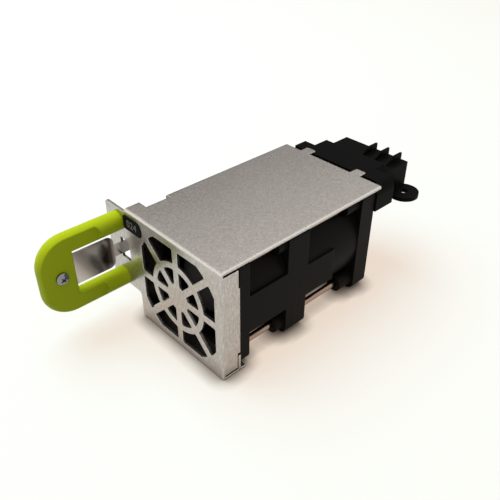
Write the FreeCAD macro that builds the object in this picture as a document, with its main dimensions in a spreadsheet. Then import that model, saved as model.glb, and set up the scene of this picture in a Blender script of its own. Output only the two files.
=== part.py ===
import FreeCAD, Part
import Sketcher
import math
import os

# Server fan module: two counter-rotating 40 mm fans in line, riveted together with a
# rear connector holder and hung under a bent sheet-steel bracket.  The bracket's front
# plate is the finger grille and carries, on an ear to its left, a moulded finger loop
# with a spring-steel latch leaf.
#
# Frame: millimetres, +X to the right seen from the front, +Y rearwards along the fans'
# common axis, +Z up.  The origin is where that axis crosses the front plate's face.

doc = FreeCAD.newDocument("server_fan_module")

# ---------------------------------------------------------------- driving dimensions

SIZES = {
    # bracket, bent from sheet steel
    "sheet_wall": 1.0,
    "bend_round": 1.1,
    "side_bend_round": 0.8,
    "ear_root_round": 1.5,
    "blank_corner_round": 0.8,
    "side_play": 0.15,
    "top_past_fans": 1.2,
    "top_front_overhang": 4.75,
    "top_neck_overhang": 1.35,
    "top_rear_overhang": 3.15,
    "neck_start": 6.0,
    "neck_end": 15.5,
    "hook_length": 3.8,
    "hook_width": 4.3,
    "hook_spacing": 23.5,
    "hook_centre": -2.3,
    "side_flange_gap": 1.0,
    "side_flange_top_cut": 0.5,
    "side_flange_notch_cut": 1.1,
    "side_flange_top_step": 12.5,
    "side_flange_notch_step": -13.0,
    "corner_relief": 0.9,
    "bottom_flange_lap": 1.2,
    "bottom_tab_width": 0.9,
    "bottom_tab_height": 6.7,
    "bottom_tab_slit": 0.4,
    "left_wall_drop": 30.0,
    "cheek_gap": 0.3,
    "ear_reach": 15.8,
    "ear_top": 19.8,
    "ear_bottom": -10.3,
    # finger grille in the front plate
    "grille_margin": 2.9,
    "grille_bulge": 2.8,
    "grille_ring_outer": 12.7,
    "grille_ring_inner": 10.6,
    "grille_hub": 5.0,
    "spoke_width": 2.4,
    "spoke_count": 8,
    "window_round": 0.6,
    # number label
    "label_width": 9.6,
    "label_height": 5.2,
    "label_inset": 4.05,
    "label_bottom": 13.7,
    "label_wall": 0.25,
    "label_round": 1.2,
    "label_large_round": 2.4,
    # fans
    "plenum": 8.2,
    "fan_side": 40.0,
    "fan_corner_round": 2.5,
    "front_fan_length": 25.4,
    "rear_fan_length": 37.6,
    "front_outer_flange": 4.0,
    "front_seam_flange": 4.9,
    "rear_seam_flange": 4.4,
    "rear_outer_flange": 7.0,
    "bore_margin": 1.2,
    "barrel_wall": 0.9,
    "front_pad_width": 14.5,
    "front_pad_shift": -1.5,
    "rear_pad_width": 12.5,
    "rear_pad_shift": -1.75,
    "rear_pad_length": 13.5,
    "corner_boss_width": 6.2,
    "front_boss_length": 3.4,
    "rear_boss_length": 6.4,
    "base_setback": 0.8,
    "base_wall": 1.6,
    "base_ledge": 0.6,
    "strut_width": 1.8,
    "strut_depth": 3.0,
    "front_strut_count": 7,
    "rear_strut_count": 5,
    "tube_width": 6.8,
    # motor
    "shaft_width": 2.0,
    "bearing_outer": 5.0,
    "bearing_length": 2.3,
    "bearing_ball_count": 6,
    "bearing_race_wall": 0.45,
    "bearing_play": 0.02,
    "bearing_spacing": 7.2,
    "lower_bearing_inset": 1.1,
    "tube_lip": 0.3,
    "spacer_length": 1.2,
    "rotor_clearance": 0.9,
    "hub_setback": 2.2,
    "boss_width": 4.4,
    "hub_width": 21.6,
    "hub_wall": 0.9,
    "hub_cap": 1.2,
    "hub_round": 1.4,
    "yoke_wall": 0.6,
    "yoke_inset": 0.4,
    "yoke_length": 13.0,
    "magnet_wall": 1.2,
    "magnet_inset": 0.8,
    "magnet_length": 8.4,
    "air_gap": 0.3,
    "stack_fit": 0.02,
    "core_length": 4.6,
    "core_yoke_share": 0.555,
    "pole_count": 6,
    "pole_width": 1.5,
    "pole_shoe": 0.9,
    "shoe_share": 0.4,
    "coil_gap": 0.25,
    "coil_wall": 0.7,
    "board_margin": 1.6,
    "board_wall": 0.8,
    "board_clearance": 0.6,
    "ring_wall": 0.3,
    "ring_width": 2.9,
    "ring_play": 0.05,
    "groove_depth": 0.2,
    "shaft_tail": 0.4,
    # impellers
    "tip_clearance": 0.5,
    "front_blade_count": 5,
    "rear_blade_count": 7,
    "front_blade_height": 10.5,
    "rear_blade_height": 13.0,
    "blade_root_sweep": 8.6,
    "blade_tip_sweep": 12.6,
    "blade_tip_drop": 0.5,
    "blade_wall": 1.0,
    "blade_bow": 1.1,
    # long rivets
    "rod_width": 2.3,
    "rod_inset": 4.0,
    "rod_clearance": 0.2,
    "rivet_head_width": 4.6,
    "rivet_head_height": 0.8,
    # rear connector holder
    "holder_gap": 0.2,
    "holder_lip_gap": 1.6,
    "holder_wall": 1.6,
    "notch_play": 0.25,
    "rivet_head_play": 0.3,
    "holder_side": 0.6,
    "holder_depth": 10.0,
    "arm_length": 9.6,
    "arm_round": 4.4,
    "deck_length": 15.0,
    "deck_right": 11.6,
    "deck_left": -15.7,
    "shoulder_length": 8.3,
    "nose_reach": 27.4,
    "nose_right": 13.75,
    "nose_left": -15.5,
    "nose_step": 2.6,
    "nose_height": 10.4,
    "fin_wall": 0.8,
    "fin_pitch": 5.6,
    "fin_inset": 3.45,
    "fin_count": 3,
    "fin_length": 9.6,
    "fin_slope": 4.2,
    "eyelet_outset": 3.5,
    "eyelet_inset": 5.5,
    "eyelet_width": 11.2,
    "eyelet_wall": 1.6,
    "eyelet_hole": 3.2,
    "socket_wall": 1.5,
    "socket_depth": 9.0,
    "plug_wall": 1.2,
    "plug_back_wall": 1.6,
    "plug_setback": 0.8,
    "contact_count": 4,
    "contact_pitch": 5.2,
    "contact_row_pitch": 3.2,
    "contact_width": 1.0,
    "contact_length": 6.5,
    # finger loop and latch
    "loop_offset": 9.0,
    "loop_z": 3.8,
    "arm_spacing": 22.4,
    "arm_width": 6.8,
    "loop_reach": 30.6,
    "loop_corner": 7.0,
    "web_depth": 11.8,
    "bar_wall": 2.8,
    "bar_left_relief": 0.6,
    "recess_depth": 1.2,
    "recess_gap": 8.7,
    "leaf_offset": 0.55,
    "leaf_z": 4.4,
    "leaf_wall": 0.5,
    "leaf_height": 12.0,
    "leaf_shoulder_gap": 3.4,
    "shoulder_round": 2.4,
    "neck_height": 4.6,
    "catch_height": 7.0,
    "catch_start": 3.6,
    "catch_peak": 5.2,
    "catch_end": 12.0,
    "catch_depth": 1.8,
    "leaf_slot_play": 0.42,
    "leaf_slot_side_play": 0.4,
    "ear_slot_left": 0.5,
    "ear_slot_width": 5.2,
    "ear_slot_height": 8.0,
    "clamp_inset": 6.9,
    "clamp_shank": 2.2,
    "clamp_head": 4.3,
    "clamp_head_height": 1.5,
    "clamp_length": 4.4,
    "screw_play": 0.2,
    "loop_screw_shank": 2.4,
    "loop_screw_head": 4.6,
    "loop_screw_head_height": 1.6,
    "loop_screw_depth": 8.0,
}


class Size:
    """A number together with the sheet expression that gives it."""

    def __init__(self, number, text):
        self.number = number
        self.text = text

    def combine(self, sign, other, number):
        return Size(number, "(%s %s %s)" % (self.text, sign, as_size(other).text))

    def __add__(self, other):
        return self.combine("+", other, self.number + as_size(other).number)

    def __sub__(self, other):
        return self.combine("-", other, self.number - as_size(other).number)

    def __mul__(self, other):
        return self.combine("*", other, self.number * as_size(other).number)

    def __truediv__(self, other):
        return self.combine("/", other, self.number / as_size(other).number)

    def __neg__(self):
        return Size(-self.number, "(0 - %s)" % self.text)


def other_leg(longest, leg):
    """The third side of a right-angled triangle."""
    return Size(math.sqrt(longest.number ** 2 - leg.number ** 2),
                "sqrt(%s ^ 2 - %s ^ 2)" % (longest.text, leg.text))


def as_size(value):
    return value if isinstance(value, Size) else Size(float(value), repr(float(value)))


class Sheet:
    """The driving dimensions as attributes, each one a Size bound to its own cell."""

    def __init__(self, sizes):
        cells = doc.addObject("Spreadsheet::Sheet", "Sizes")
        for row, (alias, value) in enumerate(sizes.items(), start=1):
            cells.set("A%d" % row, alias)
            cells.set("B%d" % row, str(value))
            cells.setAlias("B%d" % row, alias)
            setattr(self, alias, Size(float(value), "Sizes.%s" % alias))


s = Sheet(SIZES)
doc.recompute()


def bind(item, prop, size):
    size = as_size(size)
    item.setExpression(prop, size.text)


# ------------------------------------------------------------ sketches and features

PLANES = {"XY": ("XY_Plane", 1), "XZ": ("XZ_Plane", -1), "YZ": ("YZ_Plane", 1)}


def new_body(label):
    body = doc.addObject("PartDesign::Body", label)
    body.Label = label
    return body


def origin_feature(body, role):
    for feature in body.Origin.OriginFeatures:
        if feature.Role == role:
            return feature


def new_sketch(body, plane, at):
    """A sketch parallel to an origin plane, a bound distance along that plane's axis."""
    role, side = PLANES[plane]
    sketch = body.newObject("Sketcher::SketchObject", "%s_sketch" % body.Name)
    sketch.AttachmentSupport = (origin_feature(body, role), [""])
    sketch.MapMode = "FlatFace"
    bind(sketch, "AttachmentOffset.Base.z", as_size(at) * side)
    return sketch


def pin_point(sketch, geometry, point, u, v):
    """Holds one point of the geometry at bound coordinates."""
    for kind, size in (("DistanceX", as_size(u)), ("DistanceY", as_size(v))):
        index = sketch.addConstraint(Sketcher.Constraint(kind, geometry, point, size.number))
        sketch.setExpression("Constraints[%d]" % index, size.text)


def draw_circle(sketch, u, v, diameter):
    u, v, radius = as_size(u), as_size(v), as_size(diameter) / 2
    centre = FreeCAD.Vector(u.number, v.number, 0)
    geometry = sketch.addGeometry(Part.Circle(centre, FreeCAD.Vector(0, 0, 1), radius.number), False)
    pin_point(sketch, geometry, 3, u, v)
    index = sketch.addConstraint(Sketcher.Constraint("Radius", geometry, radius.number))
    sketch.setExpression("Constraints[%d]" % index, radius.text)


def arc_between(start, end, radius):
    """The arc from start to end that bulges to the right of that direction."""
    chord = end - start
    middle = (start + end) * 0.5
    reach = math.sqrt(max(radius ** 2 - (chord.Length / 2) ** 2, 0.0))
    left = FreeCAD.Vector(-chord.y, chord.x, 0).normalize()
    centre = middle + left * reach
    first = math.atan2(start.y - centre.y, start.x - centre.x)
    last = math.atan2(end.y - centre.y, end.x - centre.x)
    circle = Part.Circle(centre, FreeCAD.Vector(0, 0, 1), radius)
    return Part.ArcOfCircle(circle, first, last)


def draw_loop(sketch, corners, arcs=None, closed=True):
    """An outline, anticlockwise.  arcs maps an edge's number to its radius, which is
    negative where the edge bows inwards."""
    arcs = arcs or {}
    points = [FreeCAD.Vector(as_size(u).number, as_size(v).number, 0) for u, v in corners]
    count = len(corners)
    ends = []
    for number, (u, v) in enumerate(corners if closed else corners[:-1]):
        start, end = points[number], points[(number + 1) % count]
        first, last = 1, 2
        if number not in arcs:
            edge = sketch.addGeometry(Part.LineSegment(start, end), False)
        else:
            radius = as_size(arcs[number])
            if radius.number < 0:
                radius = -radius
                start, end = end, start
                first, last = 2, 1
            edge = sketch.addGeometry(arc_between(start, end, radius.number), False)
            index = sketch.addConstraint(Sketcher.Constraint("Radius", edge, radius.number))
            sketch.setExpression("Constraints[%d]" % index, radius.text)
        pin_point(sketch, edge, first, u, v)
        ends.append((edge, first, last))
    if not closed:
        pin_point(sketch, ends[-1][0], ends[-1][2], corners[-1][0], corners[-1][1])
    for (edge, _, last), (following, start_point, _) in zip(ends, ends[1:] + ends[:closed]):
        sketch.addConstraint(Sketcher.Constraint("Coincident", edge, last, following, start_point))


def rectangle(u0, u1, v0, v1):
    return [(u0, v0), (u1, v0), (u1, v1), (u0, v1)]


def extrude(body, plane, start, end, shapes, cut=False):
    """Pads, or cuts, outlines from start to end along the plane's axis (start < end).

    Each entry of shapes is a list of corners, a pair of corners and arcs, or a
    (u, v, diameter) circle.
    """
    sketch = new_sketch(body, plane, start)
    for shape in shapes:
        if isinstance(shape, list):
            draw_loop(sketch, shape)
        elif isinstance(shape[0], list):
            draw_loop(sketch, shape[0], shape[1])
        else:
            draw_circle(sketch, *shape)
    kind = "Pocket" if cut else "Pad"
    feature = body.newObject("PartDesign::%s" % kind, "%s_%s" % (body.Name, kind.lower()))
    feature.Profile = sketch
    feature.Reversed = (PLANES[plane][1] < 0) != cut
    bind(feature, "Length", as_size(end) - start)
    if cut:
        doc.recompute()
    return feature


def revolve(body, plane, corners):
    """Turns an outline about the body's Z axis."""
    sketch = new_sketch(body, plane, 0)
    draw_loop(sketch, corners)
    feature = body.newObject("PartDesign::Revolution", "%s_turned" % body.Name)
    feature.Profile = sketch
    feature.ReferenceAxis = (origin_feature(body, "Z_Axis"), [""])
    feature.Angle = 360


def repeat_round(body, features, count, axis="Z_Axis"):
    pattern = body.newObject("PartDesign::PolarPattern", "%s_pattern" % body.Name)
    pattern.Originals = features
    pattern.Axis = (origin_feature(body, axis), [""])
    pattern.Angle = 360
    bind(pattern, "Occurrences", count)
    body.Tip = pattern
    doc.recompute()


def round_edges(body, radius, wanted):
    """Fillets the edges of the body's tip that the test picks."""
    doc.recompute()
    base = body.Tip
    names = ["Edge%d" % number for number, edge in enumerate(base.Shape.Edges, 1) if wanted(edge)]
    feature = body.newObject("PartDesign::Fillet", "%s_fillet" % body.Name)
    feature.Base = (base, names)
    bind(feature, "Radius", radius)
    doc.recompute()


def near(value, size, tolerance=0.01):
    return abs(value - as_size(size).number) < tolerance


def edge_along(edge, axis):
    """True for a straight edge parallel to the given axis."""
    if not isinstance(edge.Curve, Part.Line):
        return False
    direction = edge.Curve.Direction
    return abs(abs(getattr(direction, axis)) - 1) < 1e-6


def middle_of(edge):
    return edge.valueAt((edge.FirstParameter + edge.LastParameter) / 2)


PIECES = []


def keep(body, y=0, turn=None):
    """Places a finished piece in the module and lists it for export."""
    if turn is not None:
        body.Placement = FreeCAD.Placement(FreeCAD.Vector(0, 0, 0), turn)
        bind(body, "Placement.Base.y", y)
    PIECES.append(body)


# ------------------------------------------------------------------ shared positions

half_width = s.fan_side / 2 + s.side_play + s.sheet_wall
half_height = s.fan_side / 2 + s.sheet_wall
seam = s.plenum + s.front_fan_length
stack_end = seam + s.rear_fan_length
top_end = stack_end + s.top_past_fans
hook_end = top_end + s.hook_length
rod_reach = s.fan_side / 2 - s.rod_inset
bore_width = s.fan_side - s.bore_margin * 2
loop_x = -half_width - s.loop_offset
leaf_x = loop_x + s.leaf_offset


# ------------------------------------------------------------------------- bracket


def make_bracket():
    """One blank of sheet steel: front plate and ear, top, left wall and cheek, flanges."""
    body = new_body("bracket")
    wall = s.sheet_wall
    top_inside = half_height - wall

    front = [
        (-half_width, -half_height), (half_width, -half_height),
        (half_width, half_height), (-half_width - s.top_front_overhang, half_height),
        (-half_width - s.top_front_overhang, s.ear_top),
        (-half_width - s.ear_reach, s.ear_top),
        (-half_width - s.ear_reach, s.ear_bottom), (-half_width, s.ear_bottom),
    ]
    extrude(body, "XZ", 0, wall, [front])

    left_front = -half_width - s.top_front_overhang
    left_neck = -half_width - s.top_neck_overhang
    left_rear = -half_width - s.top_rear_overhang
    hooks = [s.hook_centre + s.hook_spacing / 2, s.hook_centre - s.hook_spacing / 2]
    top = [(left_front, 0), (half_width, 0), (half_width, top_end)]
    for hook in hooks:
        top += [
            (hook + s.hook_width / 2, top_end), (hook + s.hook_width / 2, hook_end),
            (hook - s.hook_width / 2, hook_end), (hook - s.hook_width / 2, top_end),
        ]
    top += [
        (left_rear, top_end), (left_rear, s.neck_end),
        (left_neck, s.neck_end), (left_neck, s.neck_start), (left_front, s.neck_start),
    ]
    extrude(body, "XY", top_inside, half_height, [top])

    left_wall = rectangle(s.neck_end, top_end, half_height - s.left_wall_drop, half_height)
    extrude(body, "YZ", left_rear, left_rear + wall, [left_wall])

    flange_top = top_inside - s.corner_relief
    flange_bottom = -top_inside + s.corner_relief
    cheek = [
        (wall + s.cheek_gap, flange_bottom), (s.neck_end, flange_bottom),
        (s.neck_end, half_height), (s.neck_start, half_height), (s.neck_start, flange_top),
        (wall + s.cheek_gap, flange_top),
    ]
    extrude(body, "YZ", left_neck, left_neck + wall, [cheek])

    depth = s.plenum - s.side_flange_gap
    notch_depth = depth - s.side_flange_notch_cut
    side_flange = [
        (0, flange_bottom), (notch_depth, flange_bottom),
        (notch_depth, s.side_flange_notch_step), (depth, s.side_flange_notch_step),
        (depth, s.side_flange_top_step), (depth - s.side_flange_top_cut, s.side_flange_top_step),
        (depth - s.side_flange_top_cut, flange_top), (0, flange_top),
    ]
    extrude(body, "YZ", half_width - wall, half_width, [side_flange])

    bottom_flange = rectangle(-half_width, half_width, 0, s.plenum + s.bottom_flange_lap)
    extrude(body, "XY", -half_height, -top_inside, [bottom_flange])
    tab_start = notch_depth + s.bottom_tab_slit
    tab = rectangle(tab_start, tab_start + s.bottom_tab_width, -half_height,
                    s.bottom_tab_height - half_height)
    extrude(body, "YZ", half_width - wall, half_width, [tab])

    def is_outer_bend(edge):
        middle = middle_of(edge)
        front_edge = near(middle.y, 0) and near(abs(middle.z), half_height)
        left_edge = near(middle.x, left_rear) and near(middle.z, half_height)
        return (edge_along(edge, "x") and front_edge) or (edge_along(edge, "y") and left_edge)

    def is_side_bend(edge):
        middle = middle_of(edge)
        front_edge = near(middle.x, half_width) and near(middle.y, 0)
        neck_edge = near(middle.x, left_neck) and near(middle.z, half_height)
        return (edge_along(edge, "z") and front_edge) or (edge_along(edge, "y") and neck_edge)

    def is_ear_root(edge):
        middle = middle_of(edge)
        return edge_along(edge, "y") and near(middle.x, -half_width) and near(middle.z, s.ear_bottom)

    def is_blank_corner(edge):
        middle = middle_of(edge)
        ear = edge_along(edge, "y") and near(middle.x, -half_width - s.ear_reach)
        hook = edge_along(edge, "z") and near(middle.y, hook_end)
        return ear or hook

    cut_grille(body)
    round_edges(body, s.bend_round, is_outer_bend)
    round_edges(body, s.side_bend_round, is_side_bend)
    round_edges(body, s.ear_root_round, is_ear_root)
    round_edges(body, s.blank_corner_round, is_blank_corner)
    cut_ear(body)
    keep(body)


def cut_grille(body):
    """The finger grille: a clipped round opening crossed by a ring, a hub and spokes."""
    side = half_height - s.grille_margin
    sweep = side + s.grille_bulge
    corner = other_leg(sweep, side)
    opening = [
        (side, -corner), (side, corner), (corner, side), (-corner, side),
        (-side, corner), (-side, -corner), (-corner, -side), (corner, -side),
    ]
    arcs = {1: sweep, 3: sweep, 5: sweep, 7: sweep}
    extrude(body, "XZ", 0, s.sheet_wall, [(opening, arcs)], cut=True)
    ring = [(0, 0, s.grille_ring_outer * 2), (0, 0, s.grille_ring_inner * 2)]
    extrude(body, "XZ", 0, s.sheet_wall, ring)
    extrude(body, "XZ", 0, s.sheet_wall, [(0, 0, s.grille_hub * 2)])
    spoke = rectangle(0, sweep, -s.spoke_width / 2, s.spoke_width / 2)
    first = extrude(body, "XZ", 0, s.sheet_wall, [spoke])
    doc.recompute()
    repeat_round(body, [first], s.spoke_count, "Y_Axis")

    def is_window_corner(edge):
        middle = middle_of(edge)
        reach = math.hypot(middle.x, middle.z)
        return edge_along(edge, "y") and reach < sweep.number + 0.1 and near(middle.y, s.sheet_wall / 2)

    round_edges(body, s.window_round, is_window_corner)


def cut_ear(body):
    """The latch slot and the two loop screw holes."""
    slot_left = leaf_x - s.leaf_wall / 2 - s.ear_slot_left
    slot = rectangle(slot_left, slot_left + s.ear_slot_width,
                     s.leaf_z - s.ear_slot_height / 2, s.leaf_z + s.ear_slot_height / 2)
    holes = [(loop_x, s.loop_z + s.arm_spacing * side, s.loop_screw_shank + s.screw_play * 2)
             for side in (0.5, -0.5)]
    extrude(body, "XZ", 0, s.sheet_wall, [slot, holes[0], holes[1]], cut=True)


make_bracket()


def make_label():
    """A thin stuck-on panel beside the grille, left bare."""
    body = new_body("number_panel")
    right = s.label_inset - half_width
    top = s.label_bottom + s.label_height
    extrude(body, "XZ", -s.label_wall, 0,
            [rectangle(right - s.label_width, right, s.label_bottom, top)])

    def is_large_corner(edge):
        middle = middle_of(edge)
        return edge_along(edge, "y") and near(middle.x, right) and near(middle.z, top)

    def is_small_corner(edge):
        middle = middle_of(edge)
        lower_right = near(middle.x, right) and near(middle.z, s.label_bottom)
        return edge_along(edge, "y") and (lower_right or near(middle.x, right - s.label_width))

    round_edges(body, s.label_large_round, is_large_corner)
    round_edges(body, s.label_round, is_small_corner)
    keep(body)


make_label()


# ----------------------------------------------------------------------------- fans

# Each fan is drawn about its own Z axis with Z = 0 at the seam between the two fans and
# the motor base beside it.  The turns below lay the two out back to back.
FORWARD = FreeCAD.Rotation(FreeCAD.Vector(1, 0, 0), 90)
REARWARD = FreeCAD.Rotation(FreeCAD.Vector(0, 1, 1), 180)


class Fan:
    """What the two fans don't share."""

    def __init__(self, name, turn, length, seam_flange, outer_flange, pad, boss, struts, blades,
                 blade_height, hand):
        self.name = name
        self.turn = turn
        self.length = length
        self.seam_flange = seam_flange
        self.outer_flange = outer_flange
        self.pad_width, self.pad_shift, self.pad_end = pad
        self.boss_start, self.boss_length = boss
        self.struts = struts
        self.blades = blades
        self.blade_height = blade_height
        self.hand = hand
        self.hub_top = length - s.hub_setback

    def part(self, piece):
        return new_body("%s_%s" % (self.name, piece))

    def keep(self, body):
        keep(body, seam, self.turn)


front_fan = Fan(
    "front", FORWARD, s.front_fan_length, s.front_seam_flange, s.front_outer_flange,
    (s.front_pad_width, s.front_pad_shift, s.front_fan_length - s.front_outer_flange),
    (s.front_seam_flange, s.front_boss_length),
    s.front_strut_count, s.front_blade_count, s.front_blade_height, 1)
rear_fan = Fan(
    "rear", REARWARD, s.rear_fan_length, s.rear_seam_flange, s.rear_outer_flange,
    (s.rear_pad_width, -s.rear_pad_shift, s.rear_seam_flange + s.rear_pad_length),
    (s.rear_fan_length - s.rear_outer_flange - s.rear_boss_length, s.rear_boss_length),
    s.rear_strut_count, s.rear_blade_count, s.rear_blade_height, -1)

# heights above the seam that both motors share
base_top = s.base_setback + s.base_wall
lower_bearing = s.base_setback + s.lower_bearing_inset
upper_bearing = lower_bearing + s.bearing_spacing
tube_top = upper_bearing + s.bearing_length + s.tube_lip
hub_bottom = base_top + s.rotor_clearance
boss_bottom = upper_bearing + s.bearing_length + s.spacer_length
base_width = s.hub_width + s.base_ledge * 2
hub_inner = s.hub_width - s.hub_wall * 2
yoke_width = hub_inner - s.stack_fit * 2
yoke_inner = yoke_width - s.yoke_wall * 2
yoke_bottom = hub_bottom + s.yoke_inset
yoke_top = yoke_bottom + s.yoke_length
magnet_width = yoke_inner - s.stack_fit * 2
magnet_inner = magnet_width - s.magnet_wall * 2
magnet_bottom = yoke_bottom + s.magnet_inset
core_width = magnet_inner - s.air_gap * 2
core_yoke_width = core_width * s.core_yoke_share
core_middle = magnet_bottom + s.magnet_length / 2
core_bottom = core_middle - s.core_length / 2
core_bore = s.tube_width + s.stack_fit * 2


def rod_circles(width):
    return [(rod_reach * across, rod_reach * up, width) for across in (1, -1) for up in (1, -1)]


def make_frame(fan):
    """Moulded housing: square flanges, round barrel, side pads, struts and bearing tube."""
    body = fan.part("fan_frame")
    half = s.fan_side / 2
    square = rectangle(-half, half, -half, half)
    extrude(body, "XY", 0, fan.length, [(0, 0, bore_width + s.barrel_wall * 2)])
    extrude(body, "XY", 0, fan.seam_flange, [square])
    extrude(body, "XY", fan.length - fan.outer_flange, fan.length, [square])

    def is_flange_corner(edge):
        middle = middle_of(edge)
        return edge_along(edge, "z") and near(abs(middle.x), half) and near(abs(middle.y), half)

    round_edges(body, s.fan_corner_round, is_flange_corner)
    pad = rectangle(half * 0.8, half, fan.pad_shift - fan.pad_width / 2,
                    fan.pad_shift + fan.pad_width / 2)
    side_pad = extrude(body, "XY", fan.seam_flange, fan.pad_end, [pad])
    doc.recompute()
    repeat_round(body, [side_pad], 4)
    extrude(body, "XY", fan.boss_start, fan.boss_start + fan.boss_length,
            rod_circles(s.corner_boss_width))
    extrude(body, "XY", 0, fan.length, [(0, 0, bore_width)], cut=True)
    extrude(body, "XY", 0, fan.length, rod_circles(s.rod_width + s.rod_clearance * 2), cut=True)

    strut = rectangle(base_width * 0.49, bore_width / 2 + s.barrel_wall / 2,
                      -s.strut_width / 2, s.strut_width / 2)
    first = extrude(body, "XY", s.base_setback, s.base_setback + s.strut_depth, [strut])
    doc.recompute()
    repeat_round(body, [first], fan.struts)
    extrude(body, "XY", s.base_setback, base_top, [(0, 0, base_width)])
    extrude(body, "XY", s.base_setback, tube_top, [(0, 0, s.tube_width)])
    seat = s.bearing_outer + s.stack_fit * 2
    extrude(body, "XY", s.base_setback, lower_bearing + s.bearing_length, [(0, 0, seat)], cut=True)
    extrude(body, "XY", upper_bearing, tube_top, [(0, 0, seat)], cut=True)
    ledge = s.bearing_outer - s.bearing_race_wall * 2
    extrude(body, "XY", s.base_setback, tube_top, [(0, 0, ledge)], cut=True)
    fan.keep(body)


def arc_radius(height, sweep, bow):
    """Radius of the arc whose chord spans height and sweep and whose rise is bow."""
    return (height * height + sweep * sweep) / (bow * 8) + bow / 2


def blade_section(body, at, sweep, bottom, height, hand):
    """The crescent that a blade shows when it is cut square to its length."""
    sketch = new_sketch(body, "YZ", at)
    low = (sweep * (-0.5 * hand), bottom)
    high = (sweep * (0.5 * hand), bottom + height)
    ends = [low, high] if hand > 0 else [high, low]
    outer = arc_radius(height, sweep, s.blade_bow + s.blade_wall)
    inner = arc_radius(height, sweep, s.blade_bow)
    draw_loop(sketch, ends, {0: outer, 1: -inner})
    return sketch


def make_impeller(fan):
    """Moulded rotor: a cup-shaped hub with twisted blades, trimmed round to the bore."""
    body = fan.part("impeller")
    extrude(body, "XY", hub_bottom, fan.hub_top, [(0, 0, s.hub_width)])

    def is_nose(edge):
        return isinstance(edge.Curve, Part.Circle) and near(edge.Curve.Center.z, fan.hub_top)

    round_edges(body, s.hub_round, is_nose)
    blade_bottom = (hub_bottom + fan.hub_top - fan.blade_height) / 2
    root = blade_section(body, s.hub_width * 0.4, s.blade_root_sweep, blade_bottom,
                         fan.blade_height, fan.hand)
    tip_height = fan.blade_height - s.blade_tip_drop * 2
    tip = blade_section(body, bore_width / 2, s.blade_tip_sweep, blade_bottom + s.blade_tip_drop,
                        tip_height, fan.hand)
    blade = body.newObject("PartDesign::AdditiveLoft", "%s_blade" % body.Name)
    blade.Profile = root
    blade.Sections = [tip]
    doc.recompute()
    repeat_round(body, [blade], fan.blades)
    tip_width = bore_width - s.tip_clearance * 2
    trim = [(0, 0, bore_width * 1.3), (0, 0, tip_width)]
    extrude(body, "XY", 0, fan.length, trim, cut=True)
    extrude(body, "XY", hub_bottom, fan.hub_top - s.hub_cap, [(0, 0, hub_inner)], cut=True)
    extrude(body, "XY", boss_bottom, fan.hub_top - s.hub_cap, [(0, 0, s.boss_width)])
    extrude(body, "XY", boss_bottom, fan.hub_top - s.hub_cap,
            [(0, 0, s.shaft_width + s.stack_fit * 2)], cut=True)
    fan.keep(body)


def make_ring(fan, label, bottom, top, outer, inner):
    body = fan.part(label)
    extrude(body, "XY", bottom, top, [(0, 0, outer), (0, 0, inner)])
    return body


def make_rotor_motor(fan):
    """The steel yoke, ring magnet and shaft that turn with the impeller."""
    yoke = make_ring(fan, "rotor_yoke", yoke_bottom, yoke_top, yoke_width, yoke_inner)
    end_hole = s.boss_width + s.stack_fit * 2
    extrude(yoke, "XY", yoke_top - s.yoke_wall, yoke_top, [(0, 0, yoke_width), (0, 0, end_hole)])
    fan.keep(yoke)
    fan.keep(make_ring(fan, "ring_magnet", magnet_bottom, magnet_bottom + s.magnet_length,
                       magnet_width, magnet_inner))

    shaft = fan.part("shaft")
    radius = s.shaft_width / 2
    groove_top = lower_bearing - s.ring_play
    groove_bottom = groove_top - s.ring_wall
    groove = radius - s.groove_depth
    outline = [
        (0, groove_bottom - s.shaft_tail), (radius, groove_bottom - s.shaft_tail),
        (radius, groove_bottom), (groove, groove_bottom), (groove, groove_top),
        (radius, groove_top), (radius, fan.hub_top - s.hub_cap), (0, fan.hub_top - s.hub_cap),
    ]
    revolve(shaft, "XZ", outline)
    fan.keep(shaft)

    ring = make_ring(fan, "retaining_ring", groove_bottom + s.ring_play, groove_top,
                     s.ring_width, (groove + s.stack_fit) * 2)
    gap = rectangle(0, s.ring_width, -groove, groove)
    extrude(ring, "XY", groove_bottom, groove_top, [gap], cut=True)
    fan.keep(ring)

    fan.keep(make_ring(fan, "spacer_ring", upper_bearing + s.bearing_length, boss_bottom,
                       s.shaft_width + s.bearing_race_wall * 2, s.shaft_width + s.ring_play * 2))


def make_bearings(fan):
    """Two ball bearings: the outer rings sit in the tube, the inner ones on the shaft."""
    starts = (lower_bearing, upper_bearing)
    outer_inside = s.bearing_outer - s.bearing_race_wall * 2
    inner_inside = s.shaft_width + s.stack_fit * 2
    inner_outside = s.shaft_width + s.bearing_race_wall * 2
    outer = fan.part("bearing_outer_rings")
    inner = fan.part("bearing_inner_rings")
    for start in starts:
        end = start + s.bearing_length
        extrude(outer, "XY", start, end, [(0, 0, s.bearing_outer), (0, 0, outer_inside)])
        extrude(inner, "XY", start, end, [(0, 0, inner_outside), (0, 0, inner_inside)])
    fan.keep(outer)
    fan.keep(inner)

    ball_width = (outer_inside - inner_outside) / 2 - s.bearing_play * 2
    circle = (outer_inside + inner_outside) / 4
    count = int(s.bearing_ball_count.number)
    balls = []
    for start in starts:
        for number in range(count):
            angle = 360.0 * number / count
            ball = doc.addObject("Part::Sphere", "%s_ball" % fan.name)
            bind(ball, "Radius", ball_width / 2)
            bind(ball, "Placement.Base.x", circle * math.cos(math.radians(angle)))
            bind(ball, "Placement.Base.y", circle * math.sin(math.radians(angle)))
            bind(ball, "Placement.Base.z", start + s.bearing_length / 2)
            balls.append(ball)
    group = doc.addObject("Part::Compound", "%s_bearing_balls" % fan.name)
    group.Label = "%s_bearing_balls" % fan.name
    group.Links = balls
    fan.keep(group)


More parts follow.
